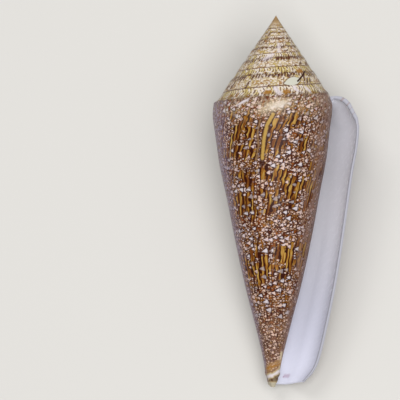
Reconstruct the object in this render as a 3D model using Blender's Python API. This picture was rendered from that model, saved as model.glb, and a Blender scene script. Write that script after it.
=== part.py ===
"""A cone shell at its real size, lying on its back with the aperture up.

The shell is one solid. It is first made upright, apex at the top, around its coiling axis: every
point has a turn (whole turns back from the outer lip), a radius from the axis and a depth below
the apex. A dextral shell grows clockwise seen from the apex, so the angle rises with the turn.
"""

import math

import bmesh
import bpy
from mathutils import Matrix, Vector

MM = 0.001

# Coil
LENGTH = 110.0 * MM
APEX_RISE = 0.2 * MM
WHORL_RATIO = 1.37
LIP_ANGLE = math.radians(-10.0)
LIP_BOW = math.radians(5.0)
SPIRE_TURNS = 6.5
SPIRE_SLOPE = 0.69
STRAIGHT_SPIRE_TURN = 1.7
APEX_FADE_TURNS = 2.0
CORNER_DEPTH = 31.2 * MM
SUTURE_DEPTH = 37.8 * MM
SUTURE_DENT = 0.25 * MM
RAMP_HOLLOW = 0.25 * MM

# Outer lip, which flares out and climbs over the last part of a turn
FLARE_TURNS = 0.56
FLARE_POWER = 1.7
LIP_CLIMB = 3.6 * MM
LIP_CLIMB_FADE = 0.25
SUTURE_CLIMB = 3.7 * MM
SUTURE_CLIMB_FADE = 0.12
LIP_CORNER_FLARE = 1.8 * MM
LIP_CORNER_FADE = 0.13
LIP_RAMP_CROWN = 1.5 * MM
CROWN_OUTWARD = 0.6
BOW_FADE_TURNS = 1.0

# Side of the body whorl: share of the way from shoulder to base, radius there half a turn and a
# whole turn behind the lip, and how much further out the lip stands there
SIDE_STATIONS = (
    (0.043, 17.8 * MM, 4.7 * MM),
    (0.13, 16.9 * MM, 5.9 * MM),
    (0.22, 15.9 * MM, 6.2 * MM),
    (0.34, 13.8 * MM, 7.6 * MM),
    (0.48, 11.5 * MM, 8.9 * MM),
    (0.64, 8.5 * MM, 10.2 * MM),
    (0.80, 4.9 * MM, 11.3 * MM),
    (0.913, 2.5 * MM, 11.5 * MM),
    (0.957, 1.9 * MM, 10.6 * MM),
    (1.0, 1.1 * MM, 8.6 * MM),
)
SHOULDER_GROWTH = 0.2
EVEN_SHOULDER_TURN = 0.75
LIP_BASE_DEPTH = 108.1 * MM
LIP_BASE_TURNS = 0.15
BACK_BASE_DEPTH = 109.2 * MM

# Wall and the hollow of the last whorl, open at the base only behind the lip
OPEN_TURNS = 0.42
CLOSING_TURNS = 0.1
HOLLOW_TURNS = 0.94
HOLLOW_END_CLOSING = 0.8
HOLLOW_END_POWER = 10
HOLLOW_FLOOR_DEPTH = 88.0 * MM
FLOOR_RISE_TURNS = 0.2
CORE_NARROWING = 0.6
NARROWING_START_TURN = 0.12
NARROWING_END_TURN = 0.6
NARROWING_DEPTH = 70.0 * MM
LIP_THICKNESS = 0.9 * MM
WALL_THICKNESS = 2.2 * MM
OLD_WALL_THICKNESS = 1.2 * MM
THICKENING_TURNS = 0.1
THINNING_START_TURN = 0.3
THINNING_END_TURN = 0.6
LARGEST_WALL_SHARE = 0.5
RAMP_LOWERING = 1.1
SIDE_LOWERING = 0.3
LIP_ROUNDING = 0.35 * MM
ROUNDED_COLUMNS = 5
HOLLOW_TOP_GAP = 1.2 * MM

# Resting position
ROLL = math.radians(5.06)
PITCH = math.radians(10.93)

# Facets
COLUMNS_PER_TURN = 50
RAMP_ROWS = 3
EXPOSED_ROWS = 2
SIDE_ROWS = 20

SHELL_COLOUR = (0.42, 0.25, 0.13, 1.0)
SHELL_ROUGHNESS = 0.3


def clear_scene():
    """Remove every object of the open scene."""
    for obj in list(bpy.data.objects):
        bpy.data.objects.remove(obj)


def mix(start, end, share):
    return start + (end - start) * share


def smooth_step(low, high, value):
    share = min(1.0, max(0.0, (value - low) / (high - low)))
    return share * share * (3.0 - 2.0 * share)


def curve_through(points, place):
    """Read a smooth curve through (place, value) points."""
    last = len(points) - 1
    i = 0
    while i < last - 1 and place > points[i + 1][0]:
        i += 1
    (x0, y0), (x1, y1) = points[i], points[i + 1]
    before = points[max(i - 1, 0)]
    after = points[min(i + 2, last)]
    step = x1 - x0
    slope_0 = (y1 - before[1]) / (x1 - before[0]) * step
    slope_1 = (after[1] - y0) / (after[0] - x0) * step
    s = min(1.0, max(0.0, (place - x0) / step))
    return (
        y0 * (2 * s**3 - 3 * s**2 + 1)
        + slope_0 * (s**3 - 2 * s**2 + s)
        + y1 * (3 * s**2 - 2 * s**3)
        + slope_1 * (s**3 - s**2)
    )


def flare(turn):
    """1 at the lip, falling smoothly to 0 further back."""
    return max(0.0, 1.0 - turn / FLARE_TURNS) ** FLARE_POWER


def growth(turn):
    return WHORL_RATIO**-turn


def relief(turn):
    """Share of the steps between whorls that is left, which fade out at the apex."""
    return growth(turn) * smooth_step(SPIRE_TURNS, SPIRE_TURNS - APEX_FADE_TURNS, turn)


def corner(turn):
    """Radius and depth of the shoulder's upper edge."""
    widening = LIP_CORNER_FLARE * math.exp(-turn / LIP_CORNER_FADE)
    climb = LIP_CLIMB * math.exp(-turn / LIP_CLIMB_FADE)
    depth = CORNER_DEPTH * growth(turn)
    return SPIRE_SLOPE * depth + widening, depth - climb


def attachment_depth(turn):
    """Depth at which the next whorl is attached to this one."""
    climb = SUTURE_CLIMB * math.exp(-abs(turn - 1.0) / SUTURE_CLIMB_FADE)
    return SUTURE_DEPTH * growth(turn) - climb


def base_depth(turn):
    """Depth of the open edge of the wall, then of the tip of the columella."""
    edge = mix(LIP_BASE_DEPTH, BACK_BASE_DEPTH, smooth_step(0.0, LIP_BASE_TURNS, turn))
    return mix(edge, LENGTH, smooth_step(OPEN_TURNS, OPEN_TURNS + CLOSING_TURNS, turn))


def hollow_depth(turn):
    """Depth of the lower end of the hollow, which rises once the base has closed."""
    closed = smooth_step(OPEN_TURNS, OPEN_TURNS + FLOOR_RISE_TURNS, turn)
    return mix(base_depth(turn), HOLLOW_FLOOR_DEPTH, closed)


def side_radius(turn, depth):
    """Radius of the side of a whorl, from the shoulder's upper edge to the base."""
    corner_radius, corner_depth = corner(turn)
    points = [(0.0, corner_radius)]
    younger = SHOULDER_GROWTH * (EVEN_SHOULDER_TURN - turn)
    for share, radius, lip_reach in SIDE_STATIONS:
        grown = radius * (1.0 + younger * (1.0 - share) ** 2)
        points.append((share, grown + lip_reach * flare(turn)))
    return curve_through(points, (depth - corner_depth) / (base_depth(turn) - corner_depth))


def exposed_point(turn, share):
    """Radius and depth between a whorl's corner and the whorl attached below it."""
    corner_radius, corner_depth = corner(turn)
    depth = mix(corner_depth, attachment_depth(turn), share)
    on_body = side_radius(turn, depth)
    on_spire = SPIRE_SLOPE * depth - SUTURE_DENT * share**2 * relief(turn - 1.0)
    return mix(on_body, on_spire, smooth_step(1.0, STRAIGHT_SPIRE_TURN, turn)), depth


def ramp_point(turn, share):
    """Radius and depth on the ramp above a whorl's corner, up to the suture."""
    corner_radius, corner_depth = corner(turn)
    suture_radius, suture_depth = exposed_point(turn + 1.0, 1.0)
    rise = 4.0 * share * (1.0 - share)
    crown = LIP_RAMP_CROWN * flare(turn) - RAMP_HOLLOW * relief(turn) * (1.0 - flare(turn))
    radius = mix(corner_radius, suture_radius, share) + crown * rise * CROWN_OUTWARD
    return radius, mix(corner_depth, suture_depth, share) - crown * rise


def side_point(turn, share):
    """Radius and depth below the attachment, down to the base."""
    depth = mix(attachment_depth(turn), base_depth(turn), share)
    return side_radius(turn, depth), depth


def core_radius(turn, depth):
    """Radius of what the last whorl is wound round, which narrows out of sight in the hollow."""
    inwards = smooth_step(NARROWING_START_TURN, NARROWING_END_TURN, turn)
    upwards = smooth_step(LENGTH, NARROWING_DEPTH, depth)
    return side_radius(turn + 1.0, depth) * (1.0 - CORE_NARROWING * inwards * upwards)


def core_point(turn, share):
    """Radius and depth on the inner side of the hollow."""
    if turn > OPEN_TURNS:
        bottom = hollow_depth(turn)
    else:
        closing = smooth_step(OPEN_TURNS - CLOSING_TURNS, OPEN_TURNS, turn)
        bottom = mix(LENGTH, BACK_BASE_DEPTH, closing)
    depth = mix(attachment_depth(turn + 1.0), bottom, share)
    return core_radius(turn, depth), depth


def wall_point(turn, share):
    """Radius and depth of the outer face beside a row of the hollow."""
    depth = mix(attachment_depth(turn), hollow_depth(turn), share)
    return side_radius(turn, depth), depth


def wall_thickness(turn):
    """Thin at the edge of the lip, thickest behind it, thin again where the hollow is old."""
    grown = mix(LIP_THICKNESS, WALL_THICKNESS, smooth_step(0.0, THICKENING_TURNS, turn))
    thinned = smooth_step(THINNING_START_TURN, THINNING_END_TURN, turn)
    return mix(grown, OLD_WALL_THICKNESS, thinned)


def inner_point(turn, outer, lowering):
    """The point of the hollow behind a point of the outer face, lowered by a share of the wall."""
    radius, depth = outer
    thickness = wall_thickness(turn)
    depth = min(depth + thickness * lowering, base_depth(turn))
    core = core_radius(turn, depth)
    room = radius - core
    thickness = min(thickness, LARGEST_WALL_SHARE * room)
    closing = HOLLOW_END_CLOSING * (turn / HOLLOW_TURNS) ** HOLLOW_END_POWER
    return core + (room - thickness) * (1.0 - closing), depth


def add_vertex(bm, turn, point):
    """Add the vertex of a turn, radius and depth."""
    radius, depth = point
    top = attachment_depth(turn)
    share = max(0.0, (depth - top) / (base_depth(turn) - top))
    fade = smooth_step(1.0 + BOW_FADE_TURNS, 1.0, turn)
    bow = LIP_BOW * math.sin(math.pi * min(1.0, share)) * fade
    angle = LIP_ANGLE + 2.0 * math.pi * turn - bow
    return bm.verts.new((radius * math.cos(angle), radius * math.sin(angle), -depth))


def weave(bm, first, second):
    """Join two rows of vertices with faces."""
    for i in range(len(first) - 1):
        loop = []
        for vertex in (first[i], first[i + 1], second[i + 1], second[i]):
            if vertex not in loop:
                loop.append(vertex)
        if len(loop) > 2:
            bm.faces.new(loop)


def weave_all(bm, rows):
    for first, second in zip(rows, rows[1:]):
        weave(bm, first, second)


def fan(bm, loop, centre):
    """Close a loop of vertices with triangles to its centre."""
    for first, second in zip(loop, loop[1:] + loop[:1]):
        bm.faces.new((first, second, centre))


def side_shares():
    """Rows of the side: the top of the hollow first, then even steps to the base."""
    first = HOLLOW_TOP_GAP / (LENGTH - SUTURE_DEPTH)
    steps = [mix(first, 1.0, i / (SIDE_ROWS - 1)) for i in range(SIDE_ROWS)]
    return [0.0] + steps


def upper_columns(bm, last_column):
    """The ramps and the exposed sides of all whorls, from suture to attachment."""
    attached = {}
    for column in range(last_column + 1):
        turn = column / COLUMNS_PER_TURN
        attached[column] = add_vertex(bm, turn, exposed_point(turn, 1.0))
    columns = []
    for column in range(last_column + 1):
        turn = column / COLUMNS_PER_TURN
        top = attached.get(column + COLUMNS_PER_TURN)
        rows = [top or add_vertex(bm, turn, ramp_point(turn, 1.0))]
        for i in range(RAMP_ROWS - 1, -1, -1):
            rows.append(add_vertex(bm, turn, ramp_point(turn, i / RAMP_ROWS)))
        for i in range(1, EXPOSED_ROWS):
            rows.append(add_vertex(bm, turn, exposed_point(turn, i / EXPOSED_ROWS)))
        columns.append(rows + [attached[column]])
    return columns


def side_columns(bm, upper, shares, last_column):
    """The side of the body whorl, and on past the lip the inner side of the hollow."""
    columns = []
    for column in range(last_column + 1):
        turn = column / COLUMNS_PER_TURN
        if column <= COLUMNS_PER_TURN:
            points = [side_point(turn, share) for share in shares[1:]]
        else:
            points = [core_point(turn - 1.0, share) for share in shares[1:]]
        columns.append([upper[column][-1]] + [add_vertex(bm, turn, point) for point in points])
    return columns


def inner_columns(bm, sides, shares, last_column):
    """The inner face of the last whorl, from the top of the hollow to the base."""
    columns = []
    for column in range(last_column + 1):
        turn = column / COLUMNS_PER_TURN
        rows = [sides[column + COLUMNS_PER_TURN][1]]
        for i in range(RAMP_ROWS - 1, -1, -1):
            outer = ramp_point(turn, i / RAMP_ROWS)
            rows.append(add_vertex(bm, turn, inner_point(turn, outer, RAMP_LOWERING)))
        for i in range(1, EXPOSED_ROWS + 1):
            share = i / EXPOSED_ROWS
            outer = exposed_point(turn, share)
            lowering = mix(RAMP_LOWERING, SIDE_LOWERING, share)
            rows.append(add_vertex(bm, turn, inner_point(turn, outer, lowering)))
        for share in shares[1:]:
            outer = wall_point(turn, share)
            lowering = SIDE_LOWERING * (1.0 - share)
            rows.append(add_vertex(bm, turn, inner_point(turn, outer, lowering)))
        columns.append(rows)
    return columns


def lip_crest(bm, outer, inner):
    """A row between the two faces of the lip and a little forward of them."""
    crest = []
    for first, second in zip(outer, inner):
        middle = (first.co + second.co) / 2.0
        forward = Vector((middle.y, -middle.x, 0.0)).normalized()
        crest.append(bm.verts.new(middle + forward * LIP_ROUNDING))
    return crest


def base_crest(bm, outer, inner):
    """A row between the two faces of the open base and a little below them."""
    crest = []
    for i, (first, second) in enumerate(zip(outer, inner)):
        drop = LIP_ROUNDING * smooth_step(len(outer) - 1, len(outer) - 1 - ROUNDED_COLUMNS, i)
        middle = (first.co + second.co) / 2.0
        crest.append(bm.verts.new(middle - Vector((0.0, 0.0, drop))))
    return crest


def close_lip(bm, upper, sides, inner):
    """Round the edge of the lip, and return the row along its crest."""
    outer_edge = upper[0] + sides[0][1:]
    crest = [inner[0][0]] + lip_crest(bm, outer_edge[1:], inner[0][1:])
    weave(bm, outer_edge, crest)
    weave(bm, crest, inner[0])
    return crest


def close_base(bm, sides, inner, corner_vertex):
    """Round the edge of the open base, and close the base round the columella."""
    open_column = round(OPEN_TURNS * COLUMNS_PER_TURN)
    outer_edge = [column[-1] for column in sides[: open_column + 1]]
    inner_edge = [column[-1] for column in inner[: open_column + 1]]
    crest = [corner_vertex] + base_crest(bm, outer_edge[1:], inner_edge[1:])
    weave(bm, outer_edge, crest)
    weave(bm, crest, inner_edge)
    loop = [column[-1] for column in sides[open_column : open_column + COLUMNS_PER_TURN + 1]]
    fan(bm, loop + [inner_edge[-1], crest[-1]], bm.verts.new((0.0, 0.0, -LENGTH)))


def close_hollow(bm, sides, inner):
    """The floor of the hollow, where the base has closed, and its blind end."""
    open_column = round(OPEN_TURNS * COLUMNS_PER_TURN)
    floor_inner = [column[-1] for column in inner[open_column:]]
    floor_core = [column[-1] for column in sides[open_column + COLUMNS_PER_TURN :]]
    weave(bm, floor_inner, floor_core)
    core = sides[-1][1:]
    roof = inner[-1][1 : -len(core) + 1]
    for first, second in zip(roof, roof[1:]):
        bm.faces.new((first, second, core[0]))
    weave(bm, inner[-1][-len(core) :], core)


def close_apex(bm, upper):
    """The first whorls, drawn together to the apex."""
    rim = [column[0] for column in upper[-COLUMNS_PER_TURN - 1 :]]
    end = upper[-1][1:-1]
    fan(bm, rim + end, bm.verts.new((0.0, 0.0, APEX_RISE)))


def shell_mesh():
    """The closed surface of the shell, upright, with its apex at the origin."""
    bm = bmesh.new()
    shares = side_shares()
    hollow_column = round(HOLLOW_TURNS * COLUMNS_PER_TURN)
    upper = upper_columns(bm, round(SPIRE_TURNS * COLUMNS_PER_TURN))
    sides = side_columns(bm, upper, shares, COLUMNS_PER_TURN + hollow_column)
    inner = inner_columns(bm, sides, shares, hollow_column)
    weave_all(bm, upper)
    weave_all(bm, sides[: COLUMNS_PER_TURN + 1])
    weave_all(bm, [column[1:] for column in sides[COLUMNS_PER_TURN:]])
    weave_all(bm, inner)
    crest = close_lip(bm, upper, sides, inner)
    close_base(bm, sides, inner, crest[-1])
    close_hollow(bm, sides, inner)
    close_apex(bm, upper)
    bmesh.ops.triangulate(bm, faces=bm.faces)
    bmesh.ops.recalc_face_normals(bm, faces=bm.faces)
    return bm


def lay_down(bm):
    """Turn the upright shell into its resting position and centre it on the ground."""
    on_back = Matrix.Rotation(math.radians(-90.0), 4, "X")
    rolled = Matrix.Rotation(ROLL, 4, "Y")
    pitched = Matrix.Rotation(PITCH, 4, "X")
    bmesh.ops.transform(bm, matrix=pitched @ rolled @ on_back, verts=bm.verts)
    low = Vector([min(v.co[i] for v in bm.verts) for i in range(3)])
    high = Vector([max(v.co[i] for v in bm.verts) for i in range(3)])
    middle = (low + high) / 2.0
    bmesh.ops.translate(bm, vec=(-middle.x, -middle.y, -low.z), verts=bm.verts)


def shell_material():
    material = bpy.data.materials.new("shell")
    material.use_nodes = True
    surface = material.node_tree.nodes["Principled BSDF"]
    surface.inputs["Base Color"].default_value = SHELL_COLOUR
    surface.inputs["Roughness"].default_value = SHELL_ROUGHNESS
    surface.inputs["Metallic"].default_value = 0.0
    return material


def build_shell():
    bm = shell_mesh()
    lay_down(bm)
    mesh = bpy.data.meshes.new("shell")
    bm.to_mesh(mesh)
    bm.free()
    mesh.shade_smooth()
    mesh.set_sharp_from_angle(angle=math.radians(40.0))
    mesh.materials.append(shell_material())
    shell = bpy.data.objects.new("shell", mesh)
    bpy.context.collection.objects.link(shell)


clear_scene()
build_shell()
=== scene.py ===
"""The looks of a cone shell that lies on its back on a pale floor, aperture up.

The shell grows by one law. Every point of it has a turn (whole turns back from the outer lip), a
radius from the axis and a depth below the apex, in millimetres. Its surface is woven from grids
laid along that law, and the same places carry the pattern: bands, tents, crescents and marks.
"""

import logging
import math
from dataclasses import dataclass, field
from enum import Enum
from typing import Callable, Union

import bpy
import numpy as np
from mathutils import Matrix, Vector


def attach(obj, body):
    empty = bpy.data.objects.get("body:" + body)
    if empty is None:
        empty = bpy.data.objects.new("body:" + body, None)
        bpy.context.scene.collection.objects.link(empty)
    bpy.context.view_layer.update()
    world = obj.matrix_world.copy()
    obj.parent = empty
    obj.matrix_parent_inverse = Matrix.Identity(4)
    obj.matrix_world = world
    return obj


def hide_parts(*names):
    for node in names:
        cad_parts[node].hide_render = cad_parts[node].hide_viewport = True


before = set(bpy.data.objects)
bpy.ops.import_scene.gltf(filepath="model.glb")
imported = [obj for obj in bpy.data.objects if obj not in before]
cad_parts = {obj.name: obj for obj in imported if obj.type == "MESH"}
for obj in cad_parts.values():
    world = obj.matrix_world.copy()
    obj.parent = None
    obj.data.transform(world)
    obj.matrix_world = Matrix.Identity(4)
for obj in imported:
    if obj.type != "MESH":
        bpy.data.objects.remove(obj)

LOG = logging.getLogger("cone_shell")
MM = 0.001
STUDIO_LIGHT = 1.6

Number = Union[float, np.ndarray]
Colour = tuple[float, float, float]
Range = tuple[float, float]


def mix(start: Number, end: Number, share: Number) -> Number:
    """Go a share of the way from start to end."""
    return start + (end - start) * share


def smooth_step(low: float, high: float, value: Number) -> Number:
    """Rise smoothly from 0 at low to 1 at high."""
    share = np.clip((value - low) / (high - low), 0.0, 1.0)
    return share * share * (3.0 - 2.0 * share)


def curve_through(places: np.ndarray, values: np.ndarray, at: np.ndarray) -> np.ndarray:
    """Read smooth curves through points.

    Args:
        places: where the points stand, rising.
        values: their values, a row to each place and a column to each curve.
        at: where each curve is read.

    Returns:
        The value of each curve.
    """
    last = len(places) - 1
    column = np.arange(at.size)
    i = np.searchsorted(places[1:-1], at, side="left")
    before = np.maximum(i - 1, 0)
    after = np.minimum(i + 2, last)
    y0 = values[i, column]
    y1 = values[i + 1, column]
    step = places[i + 1] - places[i]
    slope_0 = (y1 - values[before, column]) / (places[i + 1] - places[before]) * step
    slope_1 = (values[after, column] - y0) / (places[after] - places[i]) * step
    s = np.clip((at - places[i]) / step, 0.0, 1.0)
    return (
        y0 * (2 * s**3 - 3 * s**2 + 1)
        + slope_0 * (s**3 - 2 * s**2 + s)
        + y1 * (3 * s**2 - 2 * s**3)
        + slope_1 * (s**3 - s**2)
    )


@dataclass(frozen=True)
class CoilLaw:
    """The law of growth, in millimetres and turns."""

    length: float = 110.0
    apex_rise: float = 0.2
    whorl_ratio: float = 1.37
    lip_angle: float = math.radians(-10.0)
    lip_bow: float = math.radians(5.0)
    bow_fade_turns: float = 1.0
    spire_turns: float = 9.5
    spire_slope: float = 0.69
    straight_spire_turn: float = 1.7
    apex_fade_turns: float = 2.0
    corner_depth: float = 31.2
    suture_depth: float = 37.8
    suture_dent: float = 0.25
    ramp_hollow: float = 0.25
    flare_turns: float = 0.56
    flare_power: float = 1.7
    lip_climb: float = 3.6
    lip_climb_fade: float = 0.25
    suture_climb: float = 3.7
    suture_climb_fade: float = 0.12
    lip_corner_flare: float = 1.8
    lip_corner_fade: float = 0.13
    lip_ramp_crown: float = 1.5
    crown_outward: float = 0.6
    side_stations: tuple[tuple[float, float, float], ...] = (
        (0.043, 17.8, 4.7),
        (0.13, 16.9, 5.9),
        (0.22, 15.9, 6.2),
        (0.34, 13.8, 7.6),
        (0.48, 11.5, 8.9),
        (0.64, 8.5, 10.2),
        (0.80, 4.9, 11.3),
        (0.913, 2.5, 11.5),
        (0.957, 1.9, 10.6),
        (1.0, 1.1, 8.6),
    )
    shoulder_growth: float = 0.2
    even_shoulder_turn: float = 0.75
    lip_base_depth: float = 108.1
    lip_base_turns: float = 0.15
    back_base_depth: float = 109.2
    open_turns: float = 0.42
    closing_turns: float = 0.1
    hollow_turns: float = 0.94
    hollow_end_closing: float = 0.8
    hollow_end_power: float = 10.0
    hollow_floor_depth: float = 88.0
    floor_rise_turns: float = 0.2
    core_narrowing: float = 0.6
    narrowing_start_turn: float = 0.12
    narrowing_end_turn: float = 0.6
    narrowing_depth: float = 70.0
    lip_thickness: float = 0.9
    wall: float = 2.2
    old_wall: float = 1.2
    thickening_turns: float = 0.1
    thinning_start_turn: float = 0.3
    thinning_end_turn: float = 0.6
    largest_wall_share: float = 0.5
    ramp_lowering: float = 1.1
    side_lowering: float = 0.3
    facet_fit: float = 0.998

    def flare(self, turn: Number) -> Number:
        """1 at the lip, falling smoothly to 0 further back."""
        return np.maximum(0.0, 1.0 - turn / self.flare_turns) ** self.flare_power

    def growth(self, turn: Number) -> Number:
        """Size of a turn against the one at the lip."""
        return self.whorl_ratio ** (-np.asarray(turn, float))

    def relief(self, turn: Number) -> Number:
        """Size of the steps between whorls, which fade out at the apex."""
        fade = smooth_step(self.spire_turns, self.spire_turns - self.apex_fade_turns, turn)
        return self.growth(turn) * fade

    def corner(self, turn: Number) -> tuple[Number, Number]:
        """Radius and depth of the shoulder's upper edge."""
        widening = self.lip_corner_flare * np.exp(-turn / self.lip_corner_fade)
        climb = self.lip_climb * np.exp(-turn / self.lip_climb_fade)
        depth = self.corner_depth * self.growth(turn)
        return self.spire_slope * depth + widening, depth - climb

    def attachment_depth(self, turn: Number) -> Number:
        """Depth at which the next whorl is attached to this one."""
        climb = self.suture_climb * np.exp(-np.abs(turn - 1.0) / self.suture_climb_fade)
        return self.suture_depth * self.growth(turn) - climb

    def base_depth(self, turn: Number) -> Number:
        """Depth of the open edge of the wall, then of the tip of the columella."""
        back = smooth_step(0.0, self.lip_base_turns, turn)
        edge = mix(self.lip_base_depth, self.back_base_depth, back)
        closing = smooth_step(self.open_turns, self.open_turns + self.closing_turns, turn)
        return mix(edge, self.length, closing)

    def hollow_depth(self, turn: Number) -> Number:
        """Depth of the lower end of the hollow, which rises once the base has closed."""
        closed = smooth_step(self.open_turns, self.open_turns + self.floor_rise_turns, turn)
        return mix(self.base_depth(turn), self.hollow_floor_depth, closed)

    def side_radius(self, turn: Number, depth: Number) -> np.ndarray:
        """Radius of the side of a whorl, from the shoulder's upper edge to the base."""
        turn, depth = np.broadcast_arrays(np.asarray(turn, float), np.asarray(depth, float))
        shape = turn.shape
        turn = turn.ravel()
        depth = depth.ravel()
        corner_radius, corner_depth = self.corner(turn)
        younger = self.shoulder_growth * (self.even_shoulder_turn - turn)
        places = [0.0]
        values = [corner_radius]
        for share, radius, lip_reach in self.side_stations:
            places.append(share)
            grown = radius * (1.0 + younger * (1.0 - share) ** 2)
            values.append(grown + lip_reach * self.flare(turn))
        at = (depth - corner_depth) / (self.base_depth(turn) - corner_depth)
        return curve_through(np.array(places), np.array(values), at).reshape(shape)

    def exposed_point(self, turn: Number, share: float) -> tuple[Number, Number]:
        """Radius and depth between a whorl's corner and the whorl attached below it."""
        corner_depth = self.corner(turn)[1]
        depth = mix(corner_depth, self.attachment_depth(turn), share)
        on_body = self.side_radius(turn, depth)
        dent = self.suture_dent * share**2 * self.relief(turn - 1.0)
        on_spire = self.spire_slope * depth - dent
        return mix(on_body, on_spire, smooth_step(1.0, self.straight_spire_turn, turn)), depth

    def ramp_point(self, turn: Number, share: float) -> tuple[Number, Number]:
        """Radius and depth on the ramp above a whorl's corner, up to the suture."""
        corner_radius, corner_depth = self.corner(turn)
        suture_radius, suture_depth = self.exposed_point(turn + 1.0, 1.0)
        rise = 4.0 * share * (1.0 - share)
        near_lip = self.flare(turn)
        hollow = self.ramp_hollow * self.relief(turn) * (1.0 - near_lip)
        crown = self.lip_ramp_crown * near_lip - hollow
        radius = mix(corner_radius, suture_radius, share) + crown * rise * self.crown_outward
        return radius, mix(corner_depth, suture_depth, share) - crown * rise

    def side_point(self, turn: Number, share: float) -> tuple[Number, Number]:
        """Radius and depth below the attachment, down to the base."""
        depth = mix(self.attachment_depth(turn), self.base_depth(turn), share)
        return self.side_radius(turn, depth), depth

    def core_radius(self, turn: Number, depth: Number) -> Number:
        """Radius of what the last whorl is wound round, which narrows out of sight."""
        inwards = smooth_step(self.narrowing_start_turn, self.narrowing_end_turn, turn)
        upwards = smooth_step(self.length, self.narrowing_depth, depth)
        return self.side_radius(turn + 1.0, depth) * (1.0 - self.core_narrowing * inwards * upwards)

    def core_point(self, turn: Number, share: float) -> tuple[Number, Number]:
        """Radius and depth on the inner side of the hollow."""
        closing = smooth_step(self.open_turns - self.closing_turns, self.open_turns, turn)
        open_bottom = mix(self.length, self.back_base_depth, closing)
        bottom = np.where(turn > self.open_turns, self.hollow_depth(turn), open_bottom)
        depth = mix(self.attachment_depth(turn + 1.0), bottom, share)
        return self.core_radius(turn, depth), depth

    def wall_thickness(self, turn: Number) -> Number:
        """Thin at the edge of the lip, thickest behind it, thin again where it is old."""
        grown = mix(self.lip_thickness, self.wall, smooth_step(0.0, self.thickening_turns, turn))
        thinned = smooth_step(self.thinning_start_turn, self.thinning_end_turn, turn)
        return mix(grown, self.old_wall, thinned)

    def inner_point(
        self, turn: Number, outer: tuple[Number, Number], lowering: float
    ) -> tuple[Number, Number]:
        """The point of the hollow behind a point of the outer face.

        Args:
            turn: the turn of both points.
            outer: radius and depth of the outer point.
            lowering: how far the inner point lies lower, as a share of the wall.

        Returns:
            Radius and depth of the inner point.
        """
        radius, depth = outer
        thickness = self.wall_thickness(turn)
        depth = np.minimum(depth + thickness * lowering, self.base_depth(turn))
        core = self.core_radius(turn, depth)
        room = radius - core
        thickness = np.minimum(thickness, self.largest_wall_share * room)
        closing = self.hollow_end_closing * (turn / self.hollow_turns) ** self.hollow_end_power
        return core + (room - thickness) * (1.0 - closing), depth

    def place(self, turn: Number, point: tuple[Number, Number]) -> np.ndarray:
        """Points of the upright shell, apex at the origin and axis up.

        Args:
            turn: the turn of each point.
            point: their radii and depths.

        Returns:
            An array of x, y and z, in millimetres.
        """
        radius, depth = point
        top = self.attachment_depth(turn)
        share = np.clip((depth - top) / (self.base_depth(turn) - top), 0.0, 1.0)
        fade = smooth_step(1.0 + self.bow_fade_turns, 1.0, turn)
        angle = self.lip_angle + 2.0 * np.pi * turn - self.lip_bow * np.sin(np.pi * share) * fade
        radius = radius * self.facet_fit
        return np.stack((radius * np.cos(angle), radius * np.sin(angle), -depth), axis=-1)


class Part(Enum):
    """Parts of the surface, each with a pattern of its own."""

    BODY = 0
    RAMP = 1
    SPIRE_SIDE = 2
    INSIDE = 3


class PatternMap(Enum):
    """The UV maps that carry places on the shell to its finish."""

    COIL = "coil"
    FLAT = "flat"
    GROWTH = "growth"
    BEAD = "bead"
    PART = "part"


@dataclass
class Sheet:
    """A grid of points along the coil: rows go down the shell, columns back along its growth."""

    points: np.ndarray
    maps: dict[PatternMap, np.ndarray]

    def add(self) -> bpy.types.Object:
        """Add a grid primitive of as many points and lay it along the coil."""
        rows, columns = self.points.shape[:2]
        bpy.ops.mesh.primitive_grid_add(x_subdivisions=columns - 1, y_subdivisions=rows - 1, size=1.0)
        grid = bpy.context.object
        mesh = grid.data
        mesh.vertices.foreach_set("co", (self.points * MM).ravel())
        corners = np.empty(len(mesh.loops), np.int32)
        mesh.loops.foreach_get("vertex_index", corners)
        for layer in list(mesh.uv_layers):
            mesh.uv_layers.remove(layer)
        for name, values in self.maps.items():
            layer = mesh.uv_layers.new(name=name.value)
            layer.uv.foreach_set("vector", values.reshape(-1, 2)[corners].astype(np.float32).ravel())
        return grid


@dataclass(frozen=True)
class Sinus:
    """How a line of growth runs: the turns by which it lies behind, from shoulder to base."""

    places: tuple[float, ...] = (0.0, 0.1, 0.22, 0.5, 1.0)
    turns: tuple[float, ...] = (0.045, 0.022, 0.0, -0.03, -0.05)

    def at(self, share: Number) -> Number:
        """Turns by which growth lies behind at a share of the side."""
        return np.interp(share, self.places, self.turns)


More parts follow.
